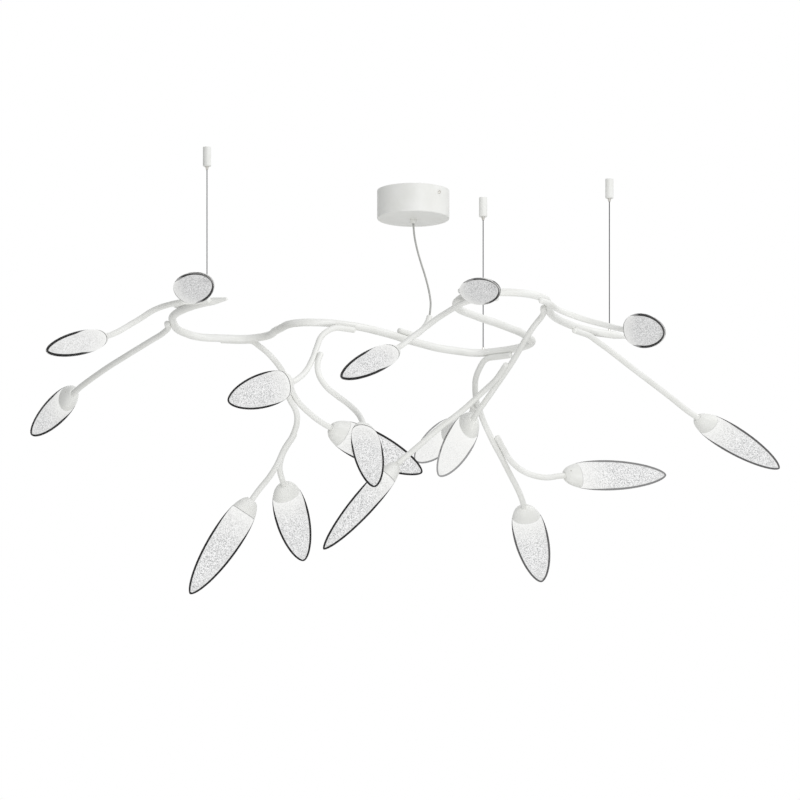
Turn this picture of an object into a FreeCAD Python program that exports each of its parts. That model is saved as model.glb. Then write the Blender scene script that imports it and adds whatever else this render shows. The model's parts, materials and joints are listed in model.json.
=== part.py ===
import FreeCAD, Part
import math
import os

# Branch ceiling light: a serpentine trunk tube hangs level on three steel wires and carries
# seventeen stem tubes, each ending in a leaf-shaped glass head with a metal cap.
# The origin is the middle of the canopy's ceiling face. +Z is up, +X is to the right seen from
# the front, and +Y points away from the front. All lengths are millimetres.

Vec = FreeCAD.Vector
UP = Vec(0, 0, 1)

doc = FreeCAD.newDocument("branch_light")
sheet = doc.addObject("Spreadsheet::Sheet", "dims")

DIMENSIONS = (
    ("frame_width", 1556),
    ("canopy_diameter", 150),
    ("canopy_height", 60),
    ("canopy_wall", 1.5),
    ("canopy_edge_round", 2),
    ("bracket_diameter", 110),
    ("bracket_thickness", 2),
    ("bracket_arm_width", 16),
    ("bracket_ear_height", 24),
    ("bracket_ear_clearance", 0.9),
    ("fixing_spacing", 70),
    ("fixing_hole_diameter", 5),
    ("supply_hole_diameter", 12),
    ("supply_hole_offset", 14),
    ("cover_screw_diameter", 4),
    ("cover_screw_drop", 14),
    ("cover_screw_bearing", 46),
    ("cover_screw_head_diameter", 8),
    ("cover_screw_head_height", 2.4),
    ("cover_screw_reach", 5),
    ("driver_length", 84),
    ("driver_width", 38),
    ("driver_height", 22),
    ("driver_offset", 8),
    ("driver_edge_round", 3),
    ("terminal_length", 42),
    ("terminal_width", 18),
    ("terminal_height", 16),
    ("terminal_offset", 24),
    ("terminal_screw_diameter", 5),
    ("terminal_screw_depth", 6),
    ("terminal_pitch", 13),
    ("grip_diameter", 14),
    ("grip_length", 10),
    ("grip_neck_diameter", 9),
    ("grip_nut_diameter", 16),
    ("grip_nut_height", 4),
    ("cord_diameter", 4),
    ("cord_clearance", 0.5),
    ("gripper_diameter", 17),
    ("gripper_height", 41),
    ("gripper_chamfer", 1.5),
    ("gripper_thread_diameter", 5),
    ("gripper_thread_depth", 10),
    ("nose_diameter", 8),
    ("nose_point_diameter", 4.4),
    ("nose_point_length", 7),
    ("nose_shank_length", 10),
    ("nose_travel_room", 4),
    ("wire_diameter", 2),
    ("wire_clearance", 0.3),
    ("wire_tail", 16),
    ("ferrule_diameter", 5),
    ("ferrule_floor", 2),
    ("ferrule_stand", 3),
    ("ferrule_reach", 5),
    ("hang_drop", 330),
    ("trunk_diameter", 16),
    ("trunk_wall", 1.5),
    ("trunk_tip_length", 34),
    ("trunk_tip_nose", 3.4),
    ("tip_spigot_length", 5),
    ("stem_diameter", 12),
    ("stem_wall", 1),
    ("stem_dome_rise", 3),
    ("weld_gap", 0.25),
    ("fit_clearance", 0.2),
    ("leaf_length", 234),
    ("leaf_width", 73),
    ("leaf_thickness", 50),
    ("leaf_belly", 0.4),
    ("glass_wall", 3),
    ("glass_tip_wall", 4),
    ("cap_depth", 30),
    ("cap_wall", 2),
    ("cap_collar_wall", 2.2),
    ("socket_depth", 15),
    ("socket_web", 3),
    ("lead_hole_diameter", 5),
    ("module_depth", 8),
    ("module_nose_length", 5),
    ("module_step", 1.2),
    ("seal_width", 2),
    ("seal_length", 4),
    ("leaf_screw_diameter", 3),
    ("leaf_screw_place", 10),
    ("leaf_screw_socket", 1.6),
)
for row, (alias, value) in enumerate(DIMENSIONS, start=1):
    sheet.set(f"A{row}", alias)
    sheet.set(f"B{row}", str(value))
    sheet.setAlias(f"B{row}", alias)
doc.recompute()


def size(alias):
    return float(sheet.get(alias))


TRUNK_RADIUS = size("trunk_diameter") / 2
TRUNK_BORE = TRUNK_RADIUS - size("trunk_wall")
STEM_RADIUS = size("stem_diameter") / 2
STEM_BORE = STEM_RADIUS - size("stem_wall")
WIRE_RADIUS = size("wire_diameter") / 2
HANG = Vec(0, 0, -size("hang_drop"))

# The places below are drawn for this width of the hanging frame, and spread with frame_width.
DRAWN_WIDTH = 1556
FRAME_SCALE = size("frame_width") / DRAWN_WIDTH

# Where the wires hold the trunk, in plan.
WIRE_PLAN = {"left": (-428, -406), "middle": (145, 65), "right": (407, -108)}

# The trunk's centre line in plan, from its left end to its right end, level with HANG. It wanders like
# a branch: a hook on the left, a long bow, a tight turn and a tall loop on the right. It is made in
# three sections, and each section after the first starts where the one before it ends.
LEFT_PLAN = (
    (-415, -417), WIRE_PLAN["left"], (-470, -352), (-497, -285), (-498, -215), (-478, -128),
    (-440, -81), (-396, -71),
)
MIDDLE_PLAN = (
    (-345, -67), (-305, -92), (-281, -152), (-243, -213), (-190, -217), (-128, -188), (-55, -115),
    (-2, -42), (75, 38), WIRE_PLAN["middle"], (163, 57),
)
RIGHT_PLAN = (
    (205, 30), (244, -25), (232, -100), (188, -187), (130, -278), (93, -350), (92, -420), (120, -478),
    (175, -500), (235, -487), (273, -438), (279, -370), (289, -285), (328, -193), (380, -126),
    WIRE_PLAN["right"], (417, -101),
)
TRUNK_PLAN = LEFT_PLAN + MIDDLE_PLAN + RIGHT_PLAN
LEFT_SEAM = len(LEFT_PLAN) - 1
RIGHT_SEAM = LEFT_SEAM + len(MIDDLE_PLAN)

# Each stem: the tube it is welded to, the stretch of that tube it lies along (in knots of that tube,
# where a half is the middle of a span), the side it lies on, and the places it then passes on its way
# to the leaf. The places are measured from the trunk's level, and the last one is the cap's mouth.
# The leaf's heading turns from +X towards +Y, its droop is below level, and its roll turns the flat
# of the leaf about its own length, in degrees.
STEMS = {
    "01": dict(parent="trunk", knot_numbers=(0, 0.5), side=(-0.6, -0.8, 0),
               places=((-490, -424, -5), (-530, -430, -18), (-575, -442, -48), (-618, -472, -80),
                       (-647, -516, -100)),
               heading=-120, droop=18, roll=0),
    "02": dict(parent="trunk", knot_numbers=(3.5, 4), side=(-0.75, 0, -0.66),
               places=((-520, -178, -14), (-546, -145, -23), (-590, -94, -39), (-644, -14, -56),
                       (-705, 95, -79)),
               heading=112, droop=9, roll=-69),
    "03": dict(parent="trunk", knot_numbers=(2.5, 2), side=(-0.5, 0, 0.87),
               places=((-468, -405, 14), (-479, -455, 7)),
               heading=-76, droop=5, roll=-33),
    "04": dict(parent="trunk", knot_numbers=(13, 12.5), side=(0, -0.7, -0.7),
               places=((-191, -234, -34), (-200, -244, -58), (-208, -257, -84), (-223, -281, -118),
                       (-255, -325, -152)),
               heading=-126, droop=20, roll=90),
    "07": dict(parent="trunk", knot_numbers=(7, 8), side=(0, 1, -0.1),
               places=((-313, -50, -17), (-283, -40, -46), (-261, -20, -78), (-243, 0, -113),
                       (-210, 27, -142), (-171, 55, -162)),
               heading=32, droop=17, roll=-50),
    "05": dict(parent="07", knot_numbers=(2, 2.5), side=(-0.8, -0.3, -0.5),
               places=((-241, 12, -157), (-249, 24, -183), (-267, 34, -211), (-284, 42, -246),
                       (-335, 56, -315)),
               heading=163, droop=55, roll=32),
    "06": dict(parent="05", knot_numbers=(1, 2), side=(0.2, 0.9, 0.3),
               places=((-277, 74, -239), (-269, 106, -271)),
               heading=78, droop=30, roll=-28),
    "08": dict(parent="04", knot_numbers=(1.5, 2), side=(1, 0, 0),
               places=((-197, -266, -118), (-180, -266, -148), (-158, -262, -166), (-135, -264, -184),
                       (-114, -275, -208), (-103, -298, -239)),
               heading=-83, droop=45, roll=-30),
    "10": dict(parent="trunk", knot_numbers=(27, 26), side=(0, -0.35, -0.94),
               places=((60, -466, -41), (16, -466, -74), (-41, -482, -120)),
               heading=-120, droop=25, roll=2),
    "11": dict(parent="trunk", knot_numbers=(25.5, 25.5), side=(-0.3, 0, 0.95),
               places=((105, -485, 9), (117, -525, -11)),
               heading=-77, droop=8, roll=-21),
    "12": dict(parent="trunk", knot_numbers=(29.5, 30), side=(-0.6, 0, -0.8),
               places=((243, -320, -42), (203, -218, -88), (169, -143, -122), (125, -58, -168)),
               heading=109, droop=18, roll=77),
    "09": dict(parent="12", knot_numbers=(1, 1.5), side=(-0.9, 0, -0.4),
               places=((144, -134, -129), (99, -101, -163), (52, -80, -195), (4, -65, -234),
                       (-34, -57, -266)),
               heading=174, droop=49, roll=-10),
    "17": dict(parent="trunk", knot_numbers=(19, 18), side=(0, -0.4, -0.9),
               places=((133, 80, -40), (129, 106, -78), (141, 136, -116), (163, 170, -160),
                       (187, 220, -195), (230, 320, -270)),
               heading=80, droop=29, roll=0),
    "13": dict(parent="17", knot_numbers=(1.5, 1.5), side=(-1, 0, 0.3),
               places=((114, 160, -117), (88, 209, -126)),
               heading=111, droop=4, roll=-80),
    "16": dict(parent="17", knot_numbers=(3, 3.5), side=(1, 0, 0.2),
               places=((205, 214, -199), (229, 229, -215), (268, 240, -225), (314, 247, -220)),
               heading=25, droop=-6, roll=58),
    "14": dict(parent="trunk", knot_numbers=(28.5, 29), side=(0.7, 0, -0.7),
               places=((308, -386, -14), (349, -374, -27), (394, -388, -43), (427, -420, -59),
                       (446, -450, -69)),
               heading=-71, droop=13, roll=-75),
    "15": dict(parent="trunk", knot_numbers=(32, 32.5), side=(0.3, -0.5, -0.8),
               places=((392, -118, -25), (456, -60, -62), (517, 0, -96), (590, 65, -138)),
               heading=40, droop=19, roll=-2),
}
LEAF_NAMES = tuple(sorted(STEMS))

# The feed tube lies along the top of the trunk and turns up to take the power cord.
FEED_KNOT_NUMBERS = (14.5, 15)
FEED_PLACES = ((17, -15, 29), (34, 3, 64))
FEED_MOUTH = (0.2, 0.2, 1)

# The power cord: down out of the canopy, in one slack bow, and into the top of the feed tube. The first
# places are measured from the middle of the canopy's underside, the others from the feed tube's mouth.
CORD_FROM_CANOPY = ((0, 0, 14), (0, 0, -18), (4, 1, -48), (13, 2, -84))
CORD_TO_MOUTH = ((-8, 0, 82), (1, 0.5, 44), (3, 1, 16), (-3.5, -3.5, -18))
CORD_ARC_SHARE = 0.45

pieces = []


def unit(vector):
    return Vec(*vector).normalize()


def placed(point):
    """A drawn place, spread to the frame's width and lowered to the trunk's level."""
    return Vec(*point) * FRAME_SCALE + HANG


def keep(label, shape, placement=None):
    """Add a finished piece whose shape is worked out here."""
    piece = doc.addObject("Part::Feature", label)
    piece.Shape = shape
    if placement is not None:
        piece.Placement = placement
    pieces.append(piece)
    return piece


def bound(kind, name, at=("0", "0", "0"), turn=None, **sizes):
    """Add a primitive whose sizes and place are formulas on the sheet."""
    solid = doc.addObject(kind, name)
    if turn is not None:
        solid.Placement = FreeCAD.Placement(Vec(), turn)
    for prop, formula in sizes.items():
        solid.setExpression(prop, formula)
    for axis, formula in zip("xyz", at):
        solid.setExpression(f".Placement.Base.{axis}", formula)
    return solid


def boolean(kind, name, base, tool):
    result = doc.addObject(kind, name)
    result.Base = base
    result.Tool = tool
    return result


def fuse(name, first, *others):
    for count, other in enumerate(others, start=1):
        label = name if count == len(others) else f"{name}_join_{count}"
        first = boolean("Part::Fuse", label, first, other)
    return first


def cut(name, first, *tools):
    for count, tool in enumerate(tools, start=1):
        label = name if count == len(tools) else f"{name}_cut_{count}"
        first = boolean("Part::Cut", label, first, tool)
    return first


# Routes: every bent tube follows circular arcs that join smoothly.

def middle_tangent(before, here, after):
    """The tangent at the middle one of three points, as on the circle through them."""
    first = here - before
    second = after - here
    return unit(unit(first) * second.Length + unit(second) * first.Length)


def mirrored_tangent(start, end, tangent):
    """The other end's tangent of one arc from start to end."""
    chord = unit(end - start)
    return unit(chord * (2 * chord.dot(tangent)) - tangent)


def arc_joint(start, start_tangent, end, end_tangent):
    """The place and tangent where two arcs meet that run from start to end."""
    chord = end - start
    both = start_tangent + end_tangent
    spread = 2 * (1 - start_tangent.dot(end_tangent))
    along = chord.dot(both)
    if spread < 1e-9:
        reach = chord.dot(chord) / (2 * along)
    else:
        reach = (-along + math.sqrt(along ** 2 + spread * chord.dot(chord))) / spread
    first = start + start_tangent * reach
    second = end - end_tangent * reach
    return (first + second) * 0.5, unit(second - first)


def smooth_route(knots, tangents):
    """Two arcs for each span: the knots with the joints between them, each with its tangent."""
    route = [(knots[0], tangents[0])]
    for place in range(1, len(knots)):
        start, end = knots[place - 1], knots[place]
        route.append(arc_joint(start, tangents[place - 1], end, tangents[place]))
        route.append((end, tangents[place]))
    return route


def arc_edge(start, tangent, end):
    """One arc that leaves start along tangent and reaches end, or a straight run."""
    chord = end - start
    lean = tangent.dot(unit(chord))
    if lean > 1 - 1e-9:
        return Part.LineSegment(start, end).toShape()
    corner = start + tangent * (chord.Length / (2 * lean))
    crown = (start + end + corner * (2 * lean)) * (1 / (2 + 2 * lean))
    return Part.Arc(start, crown, end).toShape()


def route_edges(route):
    return [arc_edge(here, tangent, there) for (here, tangent), (there, _) in zip(route, route[1:])]


def least_radius(edges):
    radii = [edge.Curve.Radius for edge in edges if hasattr(edge.Curve, "Radius")]
    return min(radii) if radii else math.inf


def swept(edges, start_tangent, radius):
    start = edges[0].Vertexes[0].Point
    ring = Part.Wire([Part.makeCircle(radius, start, start_tangent)])
    return Part.Wire(edges).makePipeShell([ring], False, False)


def end_ring(centre, tangent, outer_radius, bore_radius):
    rims = [Part.Wire([Part.makeCircle(radius, centre, tangent)]) for radius in (outer_radius, bore_radius)]
    return Part.makeFace(rims, "Part::FaceMakerBullseye")


def end_dome(centre, tangent, radius, rise):
    """A shallow dome that closes a round skin behind its start."""
    rim = Part.makeCircle(radius, centre, tangent).Vertexes[0].Point
    pole = centre - tangent * rise
    ball = (radius ** 2 + rise ** 2) / (2 * rise)
    middle = pole + tangent * ball
    crown = middle + unit((rim - middle) + (pole - middle)) * ball
    return Part.Arc(rim, crown, pole).toShape().revolve(centre, tangent, 360)


def tube(label, route, outer_radius, bore_radius, dome_rise=0):
    """A hollow tube along a route, open at its end, and open or closed by a dome at its start."""
    edges = route_edges(route)
    start, start_tangent = route[0]
    faces = list(swept(edges, start_tangent, outer_radius).Faces)
    faces += swept(edges, start_tangent, bore_radius).Faces
    faces.append(end_ring(*route[-1], outer_radius, bore_radius))
    if dome_rise:
        wall = outer_radius - bore_radius
        faces.append(end_dome(start, start_tangent, outer_radius, dome_rise))
        faces.append(end_dome(start, start_tangent, bore_radius, dome_rise - wall))
    else:
        faces.append(end_ring(start, start_tangent, outer_radius, bore_radius))
    skin = Part.makeCompound(faces)
    skin.sewShape()
    solid = Part.makeSolid(skin.Shells[0])
    if solid.Volume < 0:
        solid.reverse()
    length = sum(edge.Length for edge in edges)
    expected = math.pi * (outer_radius ** 2 - bore_radius ** 2) * length
    print(f"{label}: length {length:.0f}, least radius {least_radius(edges):.0f},"
          f" volume share {solid.Volume / expected:.4f}")
    return solid


# Leaf heads: one oval almond form, cut at the seam into a metal cap and a hollow glass.

LEAF_HALF = size("leaf_width") / 2
LEAF_FLATTEN = size("leaf_thickness") / size("leaf_width")
LEAF_LENGTH = size("leaf_length")
SEAM = size("cap_depth")
BELLY = size("leaf_belly")


def almond(share):
    """Half width as a share of the widest, at a share of the whole almond's length."""
    return (share / BELLY) ** BELLY * ((1 - share) / (1 - BELLY)) ** (1 - BELLY)


def blunt_start():
    """The share of the almond that is cut off so that the cap's mouth takes the stem and its collar."""
    mouth = STEM_RADIUS + size("fit_clearance") / 2 + size("cap_collar_wall")
    wanted = mouth / (LEAF_HALF * LEAF_FLATTEN)
    low, high = 0.0, BELLY
    for _ in range(40):
        trial = (low + high) / 2
        low, high = (trial, high) if almond(trial) < wanted else (low, trial)
    return low


MOUTH_SHARE = blunt_start()


def leaf_radius(place):
    """Half the leaf's width at a distance from the cap's mouth."""
    share = MOUTH_SHARE + (1 - MOUTH_SHARE) * place / LEAF_LENGTH
    return LEAF_HALF * almond(min(share, 1.0))


def glass_bore(place):
    """Half the width of the hollow inside the glass, at a distance from the cap's mouth."""
    reach = (LEAF_LENGTH - SEAM) / (LEAF_LENGTH - SEAM - size("glass_tip_wall"))
    return leaf_radius(SEAM + (place - SEAM) * reach) * (1 - size("glass_wall") / LEAF_HALF)


def curve(radius_at, first, last, count, round_end=False):
    """A smooth curve through points of a radius formula, closer together towards a round end."""
    points = []
    for step in range(count):
        share = step / (count - 1)
        if round_end:
            share = math.sin(share * math.pi / 2) ** 1.2
        place = first + (last - first) * share
        points.append(Vec(place, radius_at(place), 0))
    spline = Part.BSplineCurve()
    spline.interpolate(points)
    return spline.toShape()


def line(start, end):
    return Part.makeLine(Vec(start[0], start[1], 0), Vec(end[0], end[1], 0))


def turned(edges):
    """Turn a closed profile about the leaf's axis and flatten the result to the leaf's thickness."""
    profile = Part.Face(Part.Wire(Part.__sortEdges__(edges)))
    solid = profile.revolve(Vec(), Vec(1, 0, 0), 360)
    flatten = FreeCAD.Matrix()
    flatten.scale(1, 1, LEAF_FLATTEN)
    return solid.transformGeometry(flatten)


def rod(first, last, radius, direction=Vec(1, 0, 0), offset=Vec()):
    """A round rod between two distances along a direction."""
    return Part.makeCylinder(radius, last - first, offset + direction * first, direction)


def stepped(steps):
    """A turned plug from (first, last, radius) steps that follow one another."""
    corners = [(steps[0][0], 0)]
    for first, last, radius in steps:
        corners += [(first, radius), (last, radius)]
    corners.append((steps[-1][1], 0))
    corners.append(corners[0])
    return turned([line(here, there) for here, there in zip(corners, corners[1:])])


def cap_shape():
    wall = size("cap_wall")
    floor = size("socket_depth") + size("socket_web")
    bore = lambda place: leaf_radius(place) - wall
    shell = turned([
        line((0, 0), (0, leaf_radius(0))),
        curve(leaf_radius, 0, SEAM, 8),
        line((SEAM, leaf_radius(SEAM)), (SEAM, bore(SEAM))),
        curve(bore, floor, SEAM, 6),
        line((floor, bore(floor)), (floor, 0)),
        line((floor, 0), (0, 0)),
    ])
    socket = rod(-1, size("socket_depth"), STEM_RADIUS + size("fit_clearance") / 2)
    lead_hole = rod(0, floor + 1, size("lead_hole_diameter") / 2)
    screw_hole = rod(0, LEAF_HALF, size("leaf_screw_diameter") / 2 + size("fit_clearance") / 4, UP,
                     Vec(size("leaf_screw_place"), 0, 0))
    return shell.cut(socket).cut(lead_hole).cut(screw_hole)


def glass_shape():
    tip_inside = LEAF_LENGTH - size("glass_tip_wall")
    return turned([
        curve(leaf_radius, SEAM, LEAF_LENGTH, 22, round_end=True),
        line((LEAF_LENGTH, 0), (tip_inside, 0)),
        curve(glass_bore, SEAM, tip_inside, 22, round_end=True),
        line((SEAM, glass_bore(SEAM)), (SEAM, leaf_radius(SEAM))),
    ])


MODULE_BACK = SEAM - size("module_depth")
MODULE_SEAT = leaf_radius(MODULE_BACK) - size("cap_wall") - size("fit_clearance")
MODULE_NOSE = min(glass_bore(SEAM) - size("seal_width"), MODULE_SEAT) - size("module_step")


def module_shape():
    nose_end = SEAM + size("module_nose_length")
    return stepped(((MODULE_BACK, SEAM, MODULE_SEAT), (SEAM, nose_end, MODULE_NOSE)))


def seal_shape():
    start = SEAM + size("fit_clearance")
    end = start + size("seal_length")
    inside = MODULE_NOSE + size("fit_clearance")
    outside = glass_bore(SEAM) - size("fit_clearance")
    corners = ((start, inside), (start, outside), (end, outside), (end, inside), (start, inside))
    return turned([line(here, there) for here, there in zip(corners, corners[1:])])


def leaf_screw_shape():
    place = Vec(size("leaf_screw_place"), 0, 0)
    foot = STEM_RADIUS + size("fit_clearance") / 4
    top = leaf_radius(size("leaf_screw_place")) * LEAF_FLATTEN - size("fit_clearance")
    screw = rod(foot, top, size("leaf_screw_diameter") / 2, UP, place)
    socket = rod(top - size("leaf_screw_socket"), top + 1, size("leaf_screw_socket") / 2, UP, place)
    return screw.cut(socket)


def leaf_axis(stem):
    heading, droop = math.radians(stem["heading"]), math.radians(stem["droop"])
    return Vec(math.cos(droop) * math.cos(heading), math.cos(droop) * math.sin(heading), -math.sin(droop))


def leaf_placement(stem, mouth):
    """Leaf length along the axis, its width level before the roll, and its thickness square to both."""
    axis = leaf_axis(stem)
    level = unit(UP.cross(axis))
    roll = math.radians(stem["roll"])
    wide = level * math.cos(roll) + axis.cross(level) * math.sin(roll)
    thick = axis.cross(wide)
    return FreeCAD.Placement(FreeCAD.Matrix(
        axis.x, wide.x, thick.x, mouth.x,
        axis.y, wide.y, thick.y, mouth.y,
        axis.z, wide.z, thick.z, mouth.z,
        0, 0, 0, 1))


def group(label, shapes):
    return keep(label, Part.makeCompound(shapes))


# Trunk: three tube sections with sleeves in the seams, and a tapered tip on each end.

trunk_knots = [placed((x, y, 0)) for x, y in TRUNK_PLAN]
trunk_tangents = [middle_tangent(*trunk_knots[place - 1:place + 2])
                  for place in range(1, len(trunk_knots) - 1)]
trunk_tangents.insert(0, mirrored_tangent(trunk_knots[0], trunk_knots[1], trunk_tangents[0]))
trunk_tangents.append(mirrored_tangent(trunk_knots[-2], trunk_knots[-1], trunk_tangents[-1]))
trunk_route = smooth_route(trunk_knots, trunk_tangents)
wire_places = {name: placed((x, y, 0)) for name, (x, y) in WIRE_PLAN.items()}


def trunk_section(label, first_knot, last_knot):
    solid = tube(label, trunk_route[2 * first_knot:2 * last_knot + 1], TRUNK_RADIUS, TRUNK_BORE)
    for place in wire_places.values():
        hole = rod(0, TRUNK_RADIUS + 1, (size("ferrule_diameter") + size("fit_clearance")) / 2, UP, place)
        if solid.BoundBox.intersect(hole.BoundBox):
            solid = solid.cut(hole)
    return keep(label, solid.Solids[0])


trunk_section("trunk_left", 0, LEFT_SEAM)
trunk_section("trunk_middle", LEFT_SEAM, RIGHT_SEAM)
trunk_section("trunk_right", RIGHT_SEAM, len(trunk_knots) - 1)

sleeve_radius = TRUNK_BORE - size("fit_clearance") / 2
group("trunk_couplers", [
    tube(f"coupler at knot {seam}", trunk_route[2 * seam - 1:2 * seam + 2],
         sleeve_radius, sleeve_radius - size("trunk_wall"))
    for seam in (LEFT_SEAM, RIGHT_SEAM)])


def trunk_tip(place, outward):
    spigot = Part.makeCylinder(TRUNK_BORE - size("fit_clearance"), size("tip_spigot_length"), place, -outward)
    nose = size("trunk_tip_nose")
    taper = Part.makeCone(TRUNK_RADIUS, nose, size("trunk_tip_length"), place, outward)
    point = Part.makeSphere(nose, place + outward * size("trunk_tip_length"))
    return taper.fuse(spigot).fuse(point).removeSplitter()


group("trunk_tips", [
    trunk_tip(trunk_route[0][0], -trunk_route[0][1]),
    trunk_tip(trunk_route[-1][0], trunk_route[-1][1])])

# Stems: each starts beside its parent tube, follows it for a short run and bends away to its leaf.

routes = {"trunk": (trunk_route, 0, TRUNK_RADIUS)}


def stem_start(parent, knot_numbers, side):
    """Knots and tangents of the run that lies along the parent, beside it."""
    route, first_place, parent_radius = routes[parent]
    first, last = (int(2 * (knot + first_place)) for knot in knot_numbers)
    step = 1 if last >= first else -1
    reach = parent_radius + STEM_RADIUS + size("weld_gap")
    knots, tangents = [], []
    for index in range(first, last + step, step):
        place, tangent = route[index]
        beside = Vec(*side) - tangent * tangent.dot(Vec(*side))
        knots.append(place + unit(beside) * reach)
        tangents.append(tangent * step)
    return knots, tangents


def stem_route(name, parent, knot_numbers, side, places, end_tangent, end_run):
    knots, tangents = stem_start(parent, knot_numbers, side)
    run_knots = len(knots)
    knots += [placed(place) for place in places]
    for place in range(run_knots, len(knots) - 1):
        tangents.append(middle_tangent(*knots[place - 1:place + 2]))
    tangents.append(end_tangent)
    route = smooth_route(knots, tangents)
    if end_run:
        route.append((knots[-1] + end_tangent * end_run, end_tangent))
    routes[name] = (route, run_knots, STEM_RADIUS)
    return route


caps, modules, seals, screws, glasses = [], [], [], [], {}
cap, glass, module = cap_shape(), glass_shape(), module_shape()
seal, leaf_screw = seal_shape(), leaf_screw_shape()

for name, stem in STEMS.items():
    axis = leaf_axis(stem)
    route = stem_route(name, stem["parent"], stem["knot_numbers"], stem["side"], stem["places"], axis,
                       size("socket_depth") - size("fit_clearance"))
    keep(f"stem_{name}", tube(f"stem_{name}", route, STEM_RADIUS, STEM_BORE, size("stem_dome_rise")))
    place = leaf_placement(stem, placed(stem["places"][-1]))
    glasses[name] = place
    for bag, shape in ((caps, cap), (modules, module), (seals, seal), (screws, leaf_screw)):
        bag.append(shape.transformed(place.Matrix))

for name in LEAF_NAMES:
    keep(f"leaf_glass_{name}", glass, glasses[name])
group("leaf_caps", caps)
group("led_modules", modules)
group("leaf_seals", seals)
group("leaf_screws", screws)

feed_route = stem_route("feed", "trunk", FEED_KNOT_NUMBERS, (0, 0, 1), FEED_PLACES, unit(FEED_MOUTH), 0)
keep("feed_tube", tube("feed_tube", feed_route, STEM_RADIUS, STEM_BORE, size("stem_dome_rise")))

# Power cord: straight runs joined by arcs as large as the runs allow.


def cord_edges(points):
    edges, start = [], points[0]
    for before, here, after in zip(points, points[1:], points[2:]):
        back, ahead = unit(before - here), unit(after - here)
        run = CORD_ARC_SHARE * min((before - here).Length, (after - here).Length)
        entry, leave = here + back * run, here + ahead * run
        half_turn = (math.pi - back.getAngle(ahead)) / 2
        lean = math.cos(half_turn)
        crown = (entry + leave + here * (2 * lean)) * (1 / (2 + 2 * lean))
        edges += [Part.LineSegment(start, entry).toShape(), Part.Arc(entry, crown, leave).toShape()]
        print(f"cord radius {run / math.tan(half_turn):.0f}")
        start = leave
    edges.append(Part.LineSegment(start, points[-1]).toShape())
    return edges


canopy_underside = Vec(0, 0, -size("canopy_height"))
cord_points = [canopy_underside + Vec(*step) for step in CORD_FROM_CANOPY]
cord_points += [placed(FEED_PLACES[-1]) + Vec(*step) for step in CORD_TO_MOUTH]
cord_path = cord_edges(cord_points)
cord_radius = size("cord_diameter") / 2
cord_ring = Part.Wire([Part.makeCircle(cord_radius, cord_points[0], UP)])
cord = Part.Wire(cord_path).makePipeShell([cord_ring], True, False)
cord_length = sum(edge.Length for edge in cord_path)
cord_volume = math.pi * cord_radius ** 2 * cord_length
print(f"power_cord: length {cord_length:.0f}, volume share {cord.Volume / cord_volume:.4f}")
keep("power_cord", cord)

# Canopy: a round cover over a bracket plate that is screwed to the ceiling.

cover_screw_turn = FreeCAD.Rotation(UP, size("cover_screw_bearing") - 90)
across = cover_screw_turn.multiply(FreeCAD.Rotation(Vec(0, 1, 0), 90))
screw_line = cover_screw_turn.multVec(Vec(1, 0, 0))

cover_block = bound("Part::Cylinder", "cover_block", ("0", "0", "-dims.canopy_height"),
                    Radius="dims.canopy_diameter / 2", Height="dims.canopy_height")
cover_rounded = doc.addObject("Part::Fillet", "cover_rounded")
doc.recompute()
cover_rounded.Base = cover_block
bottom_rim = [number for number, edge in enumerate(cover_block.Shape.Edges, start=1)
              if edge.BoundBox.ZMax < cover_block.Shape.BoundBox.ZMin + 1]
cover_rounded.Edges = [(bottom_rim[0], size("canopy_edge_round"), size("canopy_edge_round"))]
cover_hollow = bound("Part::Cylinder", "cover_hollow", ("0", "0", "dims.canopy_wall - dims.canopy_height"),
                     Radius="dims.canopy_diameter / 2 - dims.canopy_wall", Height="dims.canopy_height")
cover_cord_hole = bound("Part::Cylinder", "cover_cord_hole", ("0", "0", "-1.5 * dims.canopy_height"),
                        Radius="(dims.grip_neck_diameter + dims.fit_clearance) / 2",
                        Height="dims.canopy_height")
beyond_cover = (f"-dims.canopy_diameter * {screw_line.x}", f"-dims.canopy_diameter * {screw_line.y}",
                "-dims.cover_screw_drop")
cover_screw_hole = bound(
    "Part::Cylinder", "cover_screw_hole", beyond_cover,
    across, Radius="(dims.cover_screw_diameter + dims.fit_clearance) / 2", Height="2 * dims.canopy_diameter")
pieces.append(cut("canopy_cover", cover_rounded, cover_hollow, cover_cord_hole, cover_screw_hole))

EAR_REACH = "(dims.canopy_diameter / 2 - dims.canopy_wall - dims.bracket_ear_clearance)"


def turned_box(name, out, side, low, **sizes):
    """A box whose length runs along the line of the cover screws, out and side being its near corner."""
    aside = cover_screw_turn.multVec(Vec(0, 1, 0))
    at = (f"{out} * {screw_line.x} + ({side}) * {aside.x}",
          f"{out} * {screw_line.y} + ({side}) * {aside.y}", low)
    return bound("Part::Box", name, at, cover_screw_turn, **sizes)


bracket_plate = bound("Part::Cylinder", "bracket_plate", ("0", "0", "-dims.bracket_thickness"),
                      Radius="dims.bracket_diameter / 2", Height="dims.bracket_thickness")
bracket_arm = turned_box("bracket_arm", f"-{EAR_REACH}", "-dims.bracket_arm_width / 2",
                         "-dims.bracket_thickness", Length=f"2 * {EAR_REACH}",
                         Width="dims.bracket_arm_width", Height="dims.bracket_thickness")
ear_sizes = dict(Length="dims.bracket_thickness", Width="dims.bracket_arm_width",
                 Height="dims.bracket_ear_height")
near_ear = turned_box("near_ear", f"({EAR_REACH} - dims.bracket_thickness)", "-dims.bracket_arm_width / 2",
                      "-dims.bracket_ear_height", **ear_sizes)
far_ear = turned_box("far_ear", f"-{EAR_REACH}", "-dims.bracket_arm_width / 2",
                     "-dims.bracket_ear_height", **ear_sizes)
bracket_solid = fuse("bracket_solid", bracket_plate, bracket_arm, near_ear, far_ear)
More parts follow.
